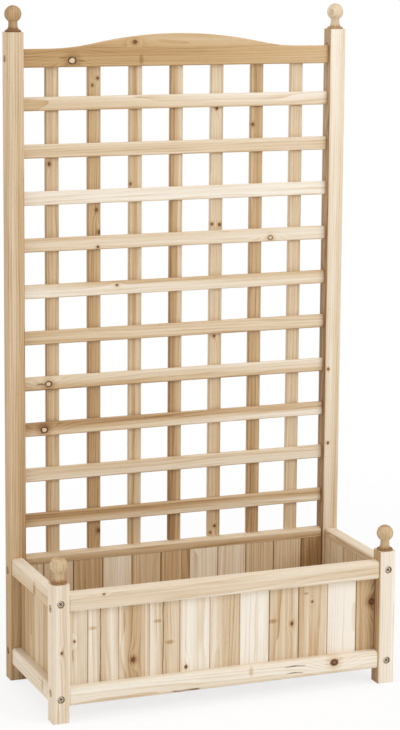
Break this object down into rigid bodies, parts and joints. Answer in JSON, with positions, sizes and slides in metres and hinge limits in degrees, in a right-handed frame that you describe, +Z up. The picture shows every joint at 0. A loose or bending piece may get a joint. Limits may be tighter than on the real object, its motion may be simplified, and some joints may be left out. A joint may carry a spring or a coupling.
{
  "type": "planter with trellis",
  "caption": "Rectangular timber planter box with corner finials and a tall slatted trellis back under an arched top rail.",
  "frame": {"origin": "centre of the footprint, on the floor", "axes": "+X to the right seen from the front, +Y to the back where the trellis stands, +Z up"},
  "size_m": [0.8, 0.345, 1.5],
  "materials": {
    "post_wood": "planed, unfinished softwood",
    "turned_wood": "turned, unfinished softwood",
    "rail_wood": "planed, unfinished softwood",
    "board_wood": "planed, unfinished softwood",
    "floor_wood": "sawn, unfinished softwood",
    "slat_wood": "planed, unfinished softwood",
    "upright_wood": "planed, unfinished softwood",
    "screw_steel": "zinc plated"
  },
  "bodies": {
    "root": {"front_leg_left": "post_wood", "front_leg_right": "post_wood", "rear_post_left": "post_wood", "rear_post_right": "post_wood", "finials": "turned_wood", "front_upper_rail": "rail_wood", "front_lower_rail": "rail_wood", "back_upper_rail": "rail_wood", "back_lower_rail": "rail_wood", "left_upper_rail": "rail_wood", "left_lower_rail": "rail_wood", "right_upper_rail": "rail_wood", "right_lower_rail": "rail_wood", "front_board_01": "board_wood", "front_board_02": "board_wood", "front_board_03": "board_wood", "front_board_04": "board_wood", "front_board_05": "board_wood", "front_board_06": "board_wood", "front_board_07": "board_wood", "front_board_08": "board_wood", "front_board_09": "board_wood", "front_board_10": "board_wood", "front_board_11": "board_wood", "back_boards": "board_wood", "left_side_boards": "board_wood", "right_side_boards": "board_wood", "front_floor_batten": "floor_wood", "back_floor_batten": "floor_wood", "floor_boards": "floor_wood", "top_rail": "slat_wood", "cross_slat_01": "slat_wood", "cross_slat_02": "slat_wood", "cross_slat_03": "slat_wood", "cross_slat_04": "slat_wood", "cross_slat_05": "slat_wood", "cross_slat_06": "slat_wood", "cross_slat_07": "slat_wood", "cross_slat_08": "slat_wood", "cross_slat_09": "slat_wood", "cross_slat_10": "slat_wood", "upright_slat_1": "upright_wood", "upright_slat_2": "upright_wood", "upright_slat_3": "upright_wood", "upright_slat_4": "upright_wood", "upright_slat_5": "upright_wood", "upright_slat_6": "upright_wood", "upright_slat_7": "upright_wood", "front_frame_screws": "screw_steel", "rear_frame_screws": "screw_steel", "left_frame_screws": "screw_steel", "right_frame_screws": "screw_steel"}
  },
  "joints": []
}
